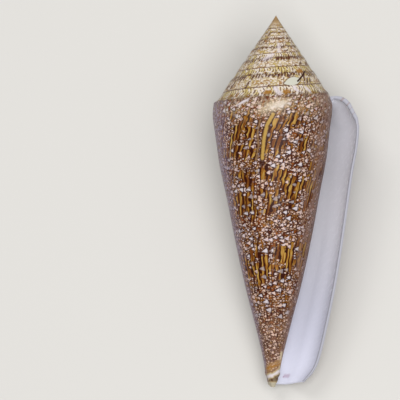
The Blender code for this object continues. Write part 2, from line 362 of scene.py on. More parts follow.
@dataclass
class ConeShell:
    """The whole shell: spire, body whorl, aperture and hollow, in one closed surface."""

    law: CoilLaw = field(default_factory=CoilLaw)
    sinus: Sinus = field(default_factory=Sinus)
    columns_per_turn: int = 200
    ramp_rows: int = 5
    exposed_rows: int = 4
    side_rows: int = 90
    edge_rows: int = 6
    cap_rings: int = 5
    hollow_top_gap: float = 1.2
    rounding: float = 0.35
    rounded_columns: int = 20
    flat_tip_depth: float = 118.0
    body_half_angle: float = math.radians(11.6)
    middle_turn: float = 0.55
    bead_spacing: float = 1.15
    bead_radius: float = 20.0
    bead_power: float = 0.45
    ridge_depth: float = 106.1
    ridge_height: float = 0.22
    groove_depth: float = 107.4
    groove_height: float = 0.16
    collar_width: float = 0.6
    tip_start_depth: float = 107.8
    tip_narrowing: float = 0.45
    roll: float = math.radians(5.06)
    pitch: float = math.radians(10.93)
    apex_place: tuple[float, float, float] = (-3.15575, 54.00835, 27.22642)

    def shares(self) -> np.ndarray:
        """Rows of the side below the top of the hollow, as shares of its height."""
        first = self.hollow_top_gap / (self.law.length - self.law.suture_depth)
        return np.linspace(first, 1.0, self.side_rows)

    def turns(self, start: float, end: float) -> np.ndarray:
        """The turns of the columns between two turns."""
        first = round(start * self.columns_per_turn)
        last = round(end * self.columns_per_turn)
        return np.arange(first, last + 1) / self.columns_per_turn

    def laid(self, turn: np.ndarray, rows: list[tuple[np.ndarray, np.ndarray]], part: Part) -> Sheet:
        """Lay rows of radii and depths along the coil, with their pattern's places.

        Args:
            turn: the turn of each column.
            rows: radius and depth of each row's points.
            part: the part of the surface that they are on.

        Returns:
            The sheet.
        """
        radius = np.array([row[0] for row in rows])
        depth = np.array([row[1] for row in rows])
        turn = np.broadcast_to(turn, radius.shape)
        points = self.law.place(turn, (radius, depth))
        maps = {
            PatternMap.COIL: np.stack((turn, depth), axis=-1),
            PatternMap.FLAT: self.flat(points, turn, depth, part),
            PatternMap.GROWTH: self.growth_map(turn, depth, part),
            PatternMap.BEAD: self.bead_map(turn, radius, depth, part),
            PatternMap.PART: np.full(radius.shape + (2,), float(part.value)),
        }
        return Sheet(points, maps)

    def flat(self, points: np.ndarray, turn: np.ndarray, depth: np.ndarray, part: Part) -> np.ndarray:
        """Unroll a sheet onto the plane, as a cone unrolls round its tip.

        Args:
            points: its points.
            turn: their turns.
            depth: their depths.
            part: the part of the surface that they are on.

        Returns:
            Places on the plane in millimetres. Their direction from the origin is down the spire
            and up the body.
        """
        if part in (Part.RAMP, Part.SPIRE_SIDE):
            half_angle = math.atan(self.law.spire_slope)
            reach = depth / math.cos(half_angle)
            swing = 2.0 * np.pi * math.sin(half_angle) * turn
        else:
            steps = np.linalg.norm(np.diff(points, axis=1), axis=-1)
            run = np.concatenate((np.zeros((len(points), 1)), np.cumsum(steps, axis=1)), axis=1)
            middle = np.searchsorted(turn[0], self.middle_turn)
            run = run - run[:, [min(middle, run.shape[1] - 1)]]
            reach = (self.flat_tip_depth - depth) / math.cos(self.body_half_angle)
            swing = run / reach
        return np.stack((reach * np.sin(swing), reach * np.cos(swing)), axis=-1)

    def growth_map(self, turn: np.ndarray, depth: np.ndarray, part: Part) -> np.ndarray:
        """When each point grew, in turns before the lip, and its share of the side."""
        corner_depth = self.law.corner(turn)[1]
        share = (depth - corner_depth) / (self.law.base_depth(turn) - corner_depth)
        if part in (Part.RAMP, Part.SPIRE_SIDE):
            return np.stack((turn, share), axis=-1)
        return np.stack((turn - self.sinus.at(share), share), axis=-1)

    def bead_map(
        self, turn: np.ndarray, radius: np.ndarray, depth: np.ndarray, part: Part
    ) -> np.ndarray:
        """Count of beads along the shoulder, and the place across ramp (0 to 1) and side (1 to 2)."""
        columns = turn[0]
        around = 2.0 * np.pi * self.law.corner(columns)[0]
        size = self.law.corner(columns)[0] / self.bead_radius
        spacing = self.bead_spacing * size**self.bead_power
        count = np.cumsum(around / spacing) / self.columns_per_turn
        corner_depth = self.law.corner(turn)[1]
        if part is Part.RAMP:
            top = self.law.attachment_depth(turn + 1.0)
            across = (depth - top) / (corner_depth - top)
        else:
            across = 1.0 + (depth - corner_depth) / (self.law.attachment_depth(turn) - corner_depth)
        return np.stack((np.broadcast_to(count, turn.shape), across), axis=-1)

    def collar(
        self, turn: np.ndarray, point: tuple[np.ndarray, np.ndarray]
    ) -> tuple[np.ndarray, np.ndarray]:
        """Raise the ridge round the base, sink the groove below it and narrow the tip.

        Args:
            turn: the turn of each point.
            point: their radii and depths.

        Returns:
            The new radii and the same depths.
        """
        radius, depth = point
        ridge = self.ridge_height * np.exp(-(((depth - self.ridge_depth) / self.collar_width) ** 2))
        below = (depth - self.groove_depth) / self.collar_width
        groove = self.groove_height * np.exp(-(below**2))
        closed = smooth_step(self.law.open_turns, self.law.open_turns + self.law.closing_turns, turn)
        tip = smooth_step(self.tip_start_depth, self.law.length, depth) * closed
        return (radius + ridge - groove) * (1.0 - self.tip_narrowing * tip), depth

    def ramp(self) -> Sheet:
        """The ramps of all whorls, from suture to shoulder."""
        turn = self.turns(0.0, self.law.spire_turns)
        steps = np.linspace(1.0, 0.0, self.ramp_rows + 1)
        return self.laid(turn, [self.law.ramp_point(turn, s) for s in steps], Part.RAMP)

    def spire_side(self) -> Sheet:
        """What shows of the sides of all whorls but the last."""
        turn = self.turns(1.0, self.law.spire_turns)
        steps = np.linspace(0.0, 1.0, self.exposed_rows + 1)[1:]
        rows = [self.law.corner(turn)] + [self.law.exposed_point(turn, s) for s in steps]
        return self.laid(turn, rows, Part.SPIRE_SIDE)

    def body(self) -> Sheet:
        """The side of the last whorl, from shoulder to base."""
        turn = self.turns(0.0, 1.0)
        steps = np.linspace(0.0, 1.0, self.exposed_rows + 1)
        rows = [self.law.exposed_point(turn, s) for s in steps]
        rows += [self.collar(turn, self.law.side_point(turn, s)) for s in self.shares()]
        return self.laid(turn, rows, Part.BODY)

    def core(self) -> Sheet:
        """The side that goes on past the lip, out of sight, as the hollow's inner wall."""
        turn = self.turns(0.0, self.law.hollow_turns)
        rows = [self.collar(turn + 1.0, self.law.core_point(turn, s)) for s in self.shares()]
        return self.laid(turn + 1.0, rows, Part.BODY)

    def inside(self, core: Sheet) -> Sheet:
        """The inner face of the last whorl, sewn to the core at the top of the hollow."""
        law = self.law
        turn = self.turns(0.0, law.hollow_turns)
        rows = []
        for s in np.linspace(1.0, 0.0, self.ramp_rows + 1)[1:]:
            rows.append(law.inner_point(turn, law.ramp_point(turn, s), law.ramp_lowering))
        for s in np.linspace(0.0, 1.0, self.exposed_rows + 1)[1:]:
            lowering = mix(law.ramp_lowering, law.side_lowering, s)
            rows.append(law.inner_point(turn, law.exposed_point(turn, s), lowering))
        for s in self.shares():
            depth = mix(law.attachment_depth(turn), law.hollow_depth(turn), s)
            outer = (law.side_radius(turn, depth), depth)
            rows.append(law.inner_point(turn, outer, law.side_lowering * (1.0 - s)))
        sheet = self.laid(turn, rows[:1] + rows, Part.INSIDE)
        sheet.points[0] = core.points[0]
        return sheet

    def lip(self, ramp: Sheet, body: Sheet, inside: Sheet) -> Sheet:
        """The rounded edge of the outer lip, from the suture down to the base."""
        outer = np.concatenate((ramp.points[:, 0], body.points[1:, 0]))
        inner = inside.points[:, 0]
        forward = np.stack((outer[:, 1], -outer[:, 0], outer[:, 2] * 0.0), axis=-1)
        forward /= np.linalg.norm(forward, axis=-1, keepdims=True)
        rows = []
        for w in np.linspace(0.0, 1.0, self.edge_rows + 1):
            row = mix(outer, inner, w) + forward * self.rounding * math.sin(math.pi * w)
            row[0] = inner[0] if w > 0.0 else outer[0]
            rows.append(row)
        return self.strip(np.stack(rows, axis=1), inside.maps, lambda grid: grid[:, [0]])

    def open_base(self, body: Sheet, inside: Sheet, lip: Sheet) -> Sheet:
        """The edge of the wall at the open base, behind the lip."""
        last = round(self.law.open_turns * self.columns_per_turn)
        outer = body.points[-1, : last + 1]
        inner = inside.points[-1, : last + 1]
        drop = self.rounding * smooth_step(last, last - self.rounded_columns, np.arange(last + 1))
        down = np.stack((drop * 0.0, drop * 0.0, -drop), axis=-1)
        rows = []
        for w in np.linspace(0.0, 1.0, self.edge_rows + 1):
            rows.append(mix(outer, inner, w) + down * math.sin(math.pi * w))
        points = np.stack(rows)
        points[:, 0] = lip.points[-1]
        return self.strip(points, inside.maps, lambda grid: grid[[-1], : last + 1])

    def strip(
        self,
        points: np.ndarray,
        maps: dict[PatternMap, np.ndarray],
        pick: Callable[[np.ndarray], np.ndarray],
    ) -> Sheet:
        """Make a sheet of an edge, which takes its pattern's places from a neighbour."""
        shape = points.shape[:2] + (2,)
        picked = {name: np.broadcast_to(pick(grid), shape).copy() for name, grid in maps.items()}
        return Sheet(points, picked)

    def base_cap(self, body: Sheet, core: Sheet, base: Sheet) -> Sheet:
        """The closed base round the columella, drawn together to its tip."""
        first = round(self.law.open_turns * self.columns_per_turn)
        bottom = (slice(-1, None), slice(first, None))
        path = [body.points[bottom][0], core.points[-1, 1 : first + 1], base.points[::-1, first]]
        return self.drawn_together(np.concatenate(path), (0.0, 0.0, -self.law.length), body)

    def apex_cap(self, ramp: Sheet, side: Sheet) -> Sheet:
        """The first whorls, drawn together to the apex."""
        first_turn = ramp.points[0, -self.columns_per_turn - 1 :]
        path = np.concatenate([first_turn, ramp.points[1:, -1], side.points[1:, -1]])
        return self.drawn_together(path, (0.0, 0.0, self.law.apex_rise), side)

    def drawn_together(
        self, path: np.ndarray, centre: tuple[float, float, float], like: Sheet
    ) -> Sheet:
        """Close a loop of points with rings that shrink to its centre.

        Args:
            path: the loop, its last point on its first.
            centre: the point that the rings shrink to.
            like: the sheet whose last corner gives the pattern's places.

        Returns:
            The sheet.
        """
        rings = [mix(path, np.array(centre), w) for w in np.linspace(0.0, 1.0, self.cap_rings + 1)]
        return self.strip(np.stack(rings), like.maps, lambda grid: grid[[-1], -1:])

    def floor(self, inside: Sheet, core: Sheet) -> Sheet:
        """The floor of the hollow, where the base has closed."""
        first = round(self.law.open_turns * self.columns_per_turn)
        points = np.stack((inside.points[-1, first:], core.points[-1, first:]))
        return self.strip(points, inside.maps, lambda grid: grid[[-1], first:])

    def blind_end(self, inside: Sheet, core: Sheet) -> Sheet:
        """The end of the hollow, far back in the whorl."""
        rows = np.maximum(np.arange(len(inside.points)) - self.ramp_rows - self.exposed_rows - 1, 0)
        points = np.stack((inside.points[:, -1], core.points[rows, -1]), axis=1)
        return self.strip(points, inside.maps, lambda grid: grid[:, [-1]])

    def sheets(self) -> list[Sheet]:
        """All the sheets of the closed surface."""
        ramp = self.ramp()
        side = self.spire_side()
        body = self.body()
        core = self.core()
        inside = self.inside(core)
        lip = self.lip(ramp, body, inside)
        base = self.open_base(body, inside, lip)
        closings = [self.base_cap(body, core, base), self.apex_cap(ramp, side)]
        closings += [self.floor(inside, core), self.blind_end(inside, core)]
        return [ramp, side, body, core, inside, lip, base] + closings

    def resting(self) -> Matrix:
        """The turn and shift that lay the upright shell on its back."""
        on_back = Matrix.Rotation(math.radians(-90.0), 4, "X")
        rolled = Matrix.Rotation(self.roll, 4, "Y")
        pitched = Matrix.Rotation(self.pitch, 4, "X")
        shift = Matrix.Translation(Vector(self.apex_place) * MM)
        return shift @ pitched @ rolled @ on_back

    def build(self) -> bpy.types.Object:
        """Sew the sheets into one closed, smooth surface at rest on the floor."""
        bpy.ops.object.select_all(action="DESELECT")
        grids = [sheet.add() for sheet in self.sheets()]
        for grid in grids:
            grid.select_set(True)
        bpy.context.view_layer.objects.active = grids[0]
        bpy.ops.object.join()
        shell = bpy.context.object
        shell.name = "natural_shell"
        bpy.ops.object.mode_set(mode="EDIT")
        bpy.ops.mesh.select_all(action="SELECT")
        bpy.ops.mesh.remove_doubles(threshold=0.001 * MM)
        bpy.ops.mesh.normals_make_consistent(inside=False)
        bpy.ops.object.mode_set(mode="OBJECT")
        shell.data.transform(self.resting())
        bpy.ops.object.shade_smooth_by_angle(angle=math.radians(50.0))
        shell.data.uv_layers[PatternMap.FLAT.value].active_render = True
        return shell


def linear(red: int, green: int, blue: int) -> Colour:
    """Turn a colour as seen, 0 to 255 in each part, into the light it gives back."""
    parts = []
    for value in (red, green, blue):
        share = value / 255.0
        parts.append(share / 12.92 if share <= 0.04045 else ((share + 0.055) / 1.055) ** 2.4)
    return tuple(parts)


class Wire:
    """A socket of a finish's node tree. Python's operators on it add Math nodes."""

    def __init__(self, finish: "Finish", socket: bpy.types.NodeSocket) -> None:
        """Wrap a socket of a finish's tree."""
        self.finish = finish
        self.socket = socket

    def maths(self, operation: str, *others: "Value") -> "Wire":
        """Add a Math node that starts from this socket."""
        inputs = dict(enumerate((self,) + others))
        return self.finish.node("ShaderNodeMath", {"operation": operation}, inputs)

    def __add__(self, other: "Value") -> "Wire":
        """This plus other."""
        return self.maths("ADD", other)

    __radd__ = __add__

    def __sub__(self, other: "Value") -> "Wire":
        """This minus other."""
        return self.maths("SUBTRACT", other)

    def __rsub__(self, other: float) -> "Wire":
        """Other minus this."""
        return self.finish.node("ShaderNodeMath", {"operation": "SUBTRACT"}, {0: other, 1: self})

    def __mul__(self, other: "Value") -> "Wire":
        """This times other."""
        return self.maths("MULTIPLY", other)

    __rmul__ = __mul__

    def __truediv__(self, other: "Value") -> "Wire":
        """This divided by other."""
        return self.maths("DIVIDE", other)

    def __abs__(self) -> "Wire":
        """This without its sign."""
        return self.maths("ABSOLUTE")

    def rise(self, low: float, high: float) -> "Wire":
        """Rise smoothly from 0 at low to 1 at high, or fall where high is the lower."""
        inputs = {0: self, 1: low, 2: high}
        if low > high:
            inputs = {0: self, 1: high, 2: low, 3: 1.0, 4: 0.0}
        return self.finish.node("ShaderNodeMapRange", {"interpolation_type": "SMOOTHSTEP"}, inputs)

    def within(self, low: float, high: float, soft: float) -> "Wire":
        """1 between two places and 0 outside them, with soft edges."""
        return self.rise(low - soft, low + soft) * self.rise(high + soft, high - soft)

    def under(self, colour: "Value", share: "Wire", strength: float = 1.0) -> "Wire":
        """This colour under another, which covers a share of it."""
        if strength < 1.0:
            share = share * strength
        return self.finish.blend(share, self, colour)


Value = Union[Wire, float, Colour]


class Finish:
    """A material whose nodes are written as Python expressions."""

    def __init__(self, name: str) -> None:
        """Start an empty material with its Principled surface."""
        self.material = bpy.data.materials.new(name)
        self.material.use_nodes = True
        self.tree = self.material.node_tree
        self.surface = self.tree.nodes["Principled BSDF"]

    def node(
        self, kind: str, settings: dict[str, object], inputs: dict, output: Union[int, str] = 0
    ) -> Wire:
        """Add a node.

        Args:
            kind: its type.
            settings: its own settings, set first.
            inputs: values or wires by socket name or number.
            output: the socket that is wanted.

        Returns:
            That socket.
        """
        made = self.tree.nodes.new(kind)
        for name, value in settings.items():
            setattr(made, name, value)
        for name, value in inputs.items():
            self.feed(made.inputs[name], value)
        return Wire(self, made.outputs[output])

    def feed(self, socket: bpy.types.NodeSocket, value: Value) -> None:
        """Link a wire to a socket, or set its value."""
        if isinstance(value, Wire):
            self.tree.links.new(value.socket, socket)
        elif socket.type == "RGBA":
            socket.default_value = (*value, 1.0)
        else:
            socket.default_value = value

    def uv(self, name: PatternMap) -> Wire:
        """One of the shell's UV maps."""
        return self.node("ShaderNodeUVMap", {"uv_map": name.value}, {})

    def split(self, vector: Wire) -> tuple[Wire, Wire]:
        """The first two parts of a vector."""
        made = self.tree.nodes.new("ShaderNodeSeparateXYZ")
        self.tree.links.new(vector.socket, made.inputs[0])
        return Wire(self, made.outputs[0]), Wire(self, made.outputs[1])

    def join(self, x: Value, y: Value, z: Value = 0.0) -> Wire:
        """A vector of two or three parts."""
        return self.node("ShaderNodeCombineXYZ", {}, {0: x, 1: y, 2: z})

    def vector(
        self, operation: str, first: Value, second: Value, output: Union[int, str] = 0
    ) -> Wire:
        """A Vector Math node."""
        inputs = {0: first, 1: second}
        return self.node("ShaderNodeVectorMath", {"operation": operation}, inputs, output)

    def scaled(self, vector: Value, scale: Value) -> Wire:
        """A vector times a number."""
        return self.node("ShaderNodeVectorMath", {"operation": "SCALE"}, {0: vector, "Scale": scale})

    def least(self, first: Value, second: Value) -> Wire:
        """The smaller of two values."""
        return self.node("ShaderNodeMath", {"operation": "MINIMUM"}, {0: first, 1: second})

    def most(self, first: Value, second: Value) -> Wire:
        """The larger of two values."""
        return self.node("ShaderNodeMath", {"operation": "MAXIMUM"}, {0: first, 1: second})

    def noise(self, vector: Wire, detail: float = 2.0) -> Wire:
        """Noise whose grains are about as large as one unit of the vector."""
        inputs = {"Vector": vector, "Scale": 1.0, "Detail": detail, "Roughness": 0.5}
        return self.node("ShaderNodeTexNoise", {"noise_dimensions": "3D"}, inputs)

    def blend(self, share: Value, first: Value, second: Value) -> Wire:
        """Mix two colours."""
        inputs = {0: share, 6: first, 7: second}
        return self.node("ShaderNodeMix", {"data_type": "RGBA"}, inputs, 2)


def pigment(red: int, green: int, blue: int) -> Colour:
    """Turn a colour as it looks in the studio's light, brighter than plain light, into a pigment."""
    return tuple(part / STUDIO_LIGHT for part in linear(red, green, blue))


@dataclass(frozen=True)
class Pigments:
    """The shell's colours."""

    darkest: Colour = pigment(58, 15, 0)
    dot_brown: Colour = pigment(88, 38, 20)
    brown: Colour = pigment(90, 37, 10)
    rust: Colour = pigment(158, 86, 32)
    mauve_brown: Colour = pigment(152, 118, 104)
    ochre: Colour = pigment(174, 118, 36)
    dark_ochre: Colour = pigment(122, 66, 18)
    olive_yellow: Colour = pigment(206, 166, 84)
    pink_cream: Colour = pigment(238, 202, 182)
    warm_cream: Colour = pigment(236, 216, 178)
    yellow_green: Colour = pigment(220, 196, 116)
    tan: Colour = pigment(188, 146, 98)
    warm_white: Colour = pigment(252, 240, 230)
    white: Colour = pigment(244, 232, 236)
    lilac: Colour = pigment(186, 174, 206)
    growth_brown: Colour = pigment(86, 54, 62)
    grey_lilac: Colour = pigment(134, 102, 116)
    golden: Colour = pigment(198, 164, 112)
    groove_grey: Colour = pigment(128, 114, 94)
    tip_cream: Colour = pigment(206, 196, 172)
    porcelain: Colour = linear(243, 243, 252)
    # A bluish white, darker than the porcelain: a real bluish tint, and painted shade lower down the
    # inside.
    porcelain_blue_shade: Colour = linear(204, 205, 221)
    # A grey painted onto the lip's rim: painted shade.
    porcelain_rim_shade: Colour = linear(158, 158, 168)
    smudge: Colour = linear(150, 112, 138)
    tick: Colour = linear(120, 84, 60)
    chip: Colour = pigment(230, 228, 212)


@dataclass(frozen=True)
class Tents:
    """A layer of tents: white or cream triangles that point to the lip.

    The size of a cell is in millimetres, and its largest and smallest tents are shares of it. The
    rim and the face fade in over distances from the outline, below 0 inside a tent. Tents are drawn
    whose own number, from 0 to 1, lies above the chosen range.
    """

    size: float
    largest: float
    smallest: float
    seed: float
    rim: Range
    face: Range
    chosen: Range = (0.0, 1.0)
    strength: float = 1.0


@dataclass(frozen=True)
class Streaks:
    """The ochre streaks: how many to a turn, how they wave, and where more or fewer show."""

    per_turn: float = 72.0
    fewer: tuple[tuple[Range, float], ...] = (((0.22, 0.23), 12.0), ((0.45, 0.46), 18.0))
    wave: float = 1.1
    drift: float = 1.8
    runs_per_streak: float = 0.41
    runs_per_share: float = 18.0
    many: tuple[float, float, float] = (0.17, 0.40, 0.01)
    few: tuple[float, float, float] = (0.42, 0.62, 0.02)
    few_below_smear: tuple[Range, Range] = ((0.78, 0.82), (0.27, 0.22))
    change: float = 0.08
    shown: Range = (0.45, 0.48)
    widest: float = 0.44
    narrowing: float = 0.38


@dataclass(frozen=True)
class Bands:
    """The three ochre bands, as shares of the side, and how raggedly they end."""

    places: tuple[Range, ...] = ((0.06, 0.20), (0.25, 0.40), (0.515, 0.64))
    soft: float = 0.006
    shift: float = 0.33
    shift_turn: float = 0.78
    pieces_per_turn: float = 60.0
    pieces_per_share: float = 6.0
    raggedness: float = 0.12


@dataclass(frozen=True)
class Crescents:
    """The thin dark lines across the ramps, in beads of the shoulder."""

    bulge: float = 2.6
    slant: float = 0.6
    wobble: float = 1.6
    width: float = 0.34
    edge: Range = (0.04, -0.04)
    strength: float = 0.85


@dataclass(frozen=True)
class Dots:
    """The dark dots along the shoulders: how they wander, how long they are, how many show."""

    wobble: float = 1.4
    slant: float = 1.1
    scatter: float = 0.6
    height: Range = (0.32, 0.16)
    length: Range = (0.40, 0.24)
    shown: Range = (0.36, 0.42)
    last_turns: Range = (0.9, 1.0)
    last_strength: float = 0.6


@dataclass(frozen=True)
class Tip:
    """The bands round the end of the columella, by depth in millimetres."""

    raggedness: float = 1.6
    middle_turn: float = 0.78
    drop_per_turn: float = 5.0
    tan: tuple[float, float, float] = (102.4, 104.8, 0.5)
    golden: Range = (104.8, 105.4)
    ochre: tuple[float, float, float] = (103.4, 104.0, 0.3)
    ridge: tuple[float, float, float] = (105.4, 106.8, 0.3)
    ridge_top: tuple[float, float, float] = (105.8, 106.5, 0.3)
    groove_start: Range = (106.8, 107.2)
    groove_end: Range = (108.6, 108.0)
    end: Range = (108.2, 108.8)


@dataclass(frozen=True)
class Gloss:
    """How the surface shines, and its fine relief along the lines of growth."""

    roughness: float = 0.38
    unevenness: float = 0.2
    smoother_inside: float = 0.12
    specular: float = 0.1
    coat: float = 0.05
    coat_roughness: float = 0.15
    relief: float = 0.35
    relief_height: float = 0.0001
    lines_per_turn: float = 220.0
    lines_per_mm: float = 0.08


@dataclass(frozen=True)
class Mark:
    """A single streak on the shell.

    Its run is in turns and depths, and it is drawn as if at one radius, around the axis. Its width
    and soft edge are in millimetres, and the taper is how much of its width it loses at its ends.
    """

    run: tuple[Range, ...]
    around: float
    width: float
    soft: float
    colour: Colour
    strength: float
    taper: float = 0.0


class ShellFinish(Finish):
    """Tented netting and ochre bands outside, porcelain inside."""

    bands_of_ochre: Bands = Bands()
    ochre_streaks: Streaks = Streaks()
    finest: Tents = Tents(0.78, 0.9, 0.4, 3.1, rim=(0.12, 0.05), face=(0.02, -0.06))
    small: Tents = Tents(0.95, 0.95, 0.5, 7.9, (0.16, 0.08), (0.03, -0.06), chosen=(0.42, 0.46))
    medium: Tents = Tents(1.45, 0.95, 0.25, 11.7, (0.24, 0.14), (0.04, -0.10), chosen=(0.34, 0.36))
    large: Tents = Tents(2.4, 0.66, 0.3, 29.3, (0.28, 0.18), (0.08, -0.20), (0.70, 0.72), 0.9)
    on_spire: Tents = Tents(1.0, 1.0, 0.5, 5.3, rim=(0.16, 0.08), face=(0.06, -0.04))
    dark_crescents: Crescents = Crescents()
    shoulder_dots: Dots = Dots()
    tip: Tip = Tip()
    gloss: Gloss = Gloss()
    tent_side: tuple[float, float, float] = (0.9, 0.44, 0.36)
    tent_base: float = 0.4
    seed_slope: float = 0.37
    randomness: float = 0.9
    lean_spread: float = 7.0
    lean_middle: float = 0.4
    leaning: float = 0.35
    roundness: float = 0.3
    bends_per_mm: float = 0.8
    bending: float = 0.5
    grain_size: float = 6.0
    mottle_size: float = 1.7
    crumb_size: float = 0.7
    cloud_size: float = 2.2
    blotch_size: float = 1.2
    mark_raggedness: float = 1.5
    foot_depths: Range = (82.0, 98.0)
    back_foot_depths: Range = (84.0, 98.0)
    back_foot_turns: Range = (0.55, 0.4)
    newer_turns: Range = (0.6, 0.35)
    newest_turns: Range = (0.2, 0.1)
    newest_end: Range = (79.2, 79.8)
    sparser_depths: Range = (70.0, 90.0)
    white_row: tuple[float, float, float] = (87.5, 92.0, 0.5)
    shoulder_shares: Range = (0.11, 0.01)
    # The flank painted with edge shade and sheen, in turns, and how far its edges wander.
    edge_shade_and_sheen_turns: tuple[float, float, float] = (0.49, 0.61, 0.04)
    edge_shade_and_sheen_wander: float = 0.1
    near_lip_turns: Range = (0.87, 0.94)
    blotch_seed: tuple[float, float, float] = (5.0, 9.0, 0.0)
    # A row of extra white blotches down the front of the spire: a painted highlight.
    painted_highlight_row: tuple[float, float, float] = (0.69, 0.77, 0.03)
    painted_highlight_gain: float = 0.08
    # Where the painted shade in each suture's crease lies, across the spire sides.
    suture_shade_places: Range = (1.86, 1.96)
    spire_turns: Range = (0.98, 1.02)
    folded_turns: Range = (0.5, 0.6)
    tip_turns: Range = (6.8, 8.6)
    rim_turns: Range = (0.006, 0.0)
    # Depths of the bluish tint and painted shade on the lower inside.
    bluish_shade_depths: Range = (52.0, 95.0)
    rim_tick_depths: Range = (33.5, 31.5)
    shoulder_radius: float = 17.5
    back_radius: float = 17.0

    def __init__(self, pigments: Pigments) -> None:
        """Read the shell's maps and lay its pattern."""
        super().__init__("shell")
        self.pigments = pigments
        self.turn, self.depth = self.split(self.uv(PatternMap.COIL))
        self.flat = self.uv(PatternMap.FLAT)
        self.grown, self.share = self.split(self.uv(PatternMap.GROWTH))
        self.bead, self.across = self.split(self.uv(PatternMap.BEAD))
        self.part = self.split(self.uv(PatternMap.PART))[0]
        self.upward = self.vector("NORMALIZE", self.flat, (0.0, 0.0, 0.0))
        across, along = self.split(self.upward)
        self.backward = self.join(along, -1.0 * across)
        self.grains = self.noise(self.scaled(self.flat, 1.0 / self.grain_size), 3.0)
        self.crumbs = self.noise(self.scaled(self.flat, 1.0 / self.crumb_size))
        self.mottle = self.noise(self.scaled(self.flat, 1.0 / self.mottle_size))
        wander = self.node(
            "ShaderNodeTexNoise",
            {"noise_dimensions": "2D"},
            {"Vector": self.flat, "Scale": self.bends_per_mm, "Detail": 2.0},
            "Color",
        )
        self.bent_flat = self.vector("ADD", self.flat, self.scaled(wander, self.bending))
        self.lay()

    def growth_noise(self, per_turn: float, per_mm: float, detail: float = 2.0) -> Wire:
        """Noise along the lines of growth, its grains counted to a turn and to a mm of depth."""
        return self.noise(self.join(self.grown * per_turn, self.depth * per_mm), detail)

    def bead_noise(self, per_bead: float, place: Wire, detail: float = 2.0) -> Wire:
        """Noise along the shoulder, its grains counted to a bead, that varies with a place."""
        return self.noise(self.join(self.bead * per_bead, place), detail)

    def tents(self, layer: Tents) -> tuple[Wire, Wire]:
        """Distance to the nearest tent's outline, and a number of its own.

        Args:
            layer: how large its cells and tents are.

        Returns:
            The distance in millimetres, below 0 inside the tent, and a number from 0 to 1.
        """
        shift = (layer.seed, layer.seed * self.seed_slope, 0.0)
        moved = self.vector("ADD", self.scaled(self.bent_flat, 1.0 / layer.size), shift)
        settings = {"voronoi_dimensions": "2D", "feature": "F1"}
        inputs = {"Vector": moved, "Scale": 1.0, "Randomness": self.randomness}
        place = self.node("ShaderNodeTexVoronoi", settings, inputs, "Position")
        shade = self.node("ShaderNodeTexVoronoi", settings, inputs, "Color")
        chance, own = self.split(shade)
        offset = self.vector("SUBTRACT", moved, place)
        back = self.vector("DOT_PRODUCT", offset, self.backward, "Value")
        up = self.vector("DOT_PRODUCT", offset, self.upward, "Value")
        lean = ((chance * self.lean_spread).maths("FRACT") - self.lean_middle) * self.leaning
        reach = layer.smallest + (layer.largest - layer.smallest) * chance
        sideways, backwards, outwards = self.tent_side
        slanted = abs(up - back * lean) * sideways - (back + up * lean) * backwards - reach * outwards
        base = back + up * lean - reach * self.tent_base
        return base.maths("SMOOTH_MAX", slanted, self.roundness) * layer.size, own

    def tented(
        self, ground: Wire, layer: Tents, outline: Wire, colour: Value, keep: Value = 1.0
    ) -> Wire:
        """Draw tents, each a pale face in a dark rim.

        Args:
            ground: the colour under them.
            layer: the layer that they are in.
            outline: the distance to their outlines.
            colour: the colour of their faces.
            keep: the share of them that is drawn.

        Returns:
            The colour with the tents on it.
        """
        ground = ground.under(self.pigments.darkest, outline.rise(*layer.rim) * keep)
        return ground.under(colour, outline.rise(*layer.face) * keep, layer.strength)

    def marked(self, ground: Wire, mark: Mark) -> Wire:
        """Draw a mark.

        Args:
            ground: the colour under it.
            mark: the mark, its places turned into millimetres by its own radius.

        Returns:
            The colour with the mark on it.
        """
        round_the_shell = 2.0 * math.pi * mark.around
        here = self.join(self.turn * round_the_shell, self.depth)
        places = [Vector((turn * round_the_shell, depth, 0.0)) for turn, depth in mark.run]
        nearest = None
        width = mark.width
        for start, end in zip(places, places[1:]):
            run = end - start
            offset = self.vector("SUBTRACT", here, tuple(start))
            along = self.vector("DOT_PRODUCT", offset, tuple(run / run.length_squared), "Value")
            along = self.most(self.least(along, 1.0), 0.0)
            foot = self.scaled(tuple(run), along)
            away = self.vector("DISTANCE", offset, foot, "Value")
            if mark.taper > 0.0:
                width = mark.width * (1.0 - mark.taper * (2.0 * along - 1.0).maths("POWER", 2.0))
            nearest = away if nearest is None else self.least(nearest, away)
        ragged = nearest - width + (self.crumbs - 0.5) * self.mark_raggedness * mark.soft
        return ground.under(mark.colour, ragged.rise(mark.soft, -mark.soft), mark.strength)

    def bands(self) -> Wire:
        """Where the ochre bands run."""
        bands = self.bands_of_ochre
        place = self.share / (1.0 + bands.shift * (bands.shift_turn - self.grown))
        pieces = self.join(self.grown * bands.pieces_per_turn, self.share * bands.pieces_per_share)
        place = place + (self.noise(pieces) - 0.5) * bands.raggedness
        first, *others = [place.within(low, high, bands.soft) for low, high in bands.places]
        return sum(others, first)

    def streaks(self) -> tuple[Wire, Wire]:
        """Wavy ochre streaks along the edges of growth.

        Returns:
            How much of a streak shows, and how far its middle is off, up to 0.5 at its edges.
        """
        streaks = self.ochre_streaks
        count = streaks.per_turn
        for shares, fewer in streaks.fewer:
            count = count - self.share.rise(*shares) * fewer
        wave = self.growth_noise(24.0, 0.5) * streaks.wave
        drift = self.growth_noise(30.0, 0.05, 1.0) * streaks.drift
        place = self.grown * count + wave + drift
        index = place.maths("FLOOR")
        runs = self.join(index * streaks.runs_per_streak, self.share * streaks.runs_per_share)
        turns, shares = streaks.few_below_smear
        blocks = self.turn.within(*streaks.many) - self.turn.within(*streaks.few)
        blocks = blocks - self.turn.rise(*turns) * self.share.rise(*shares)
        shows = self.noise(runs) + blocks * streaks.change
        return self.bands() * shows.rise(*streaks.shown), abs(place - index - 0.5)

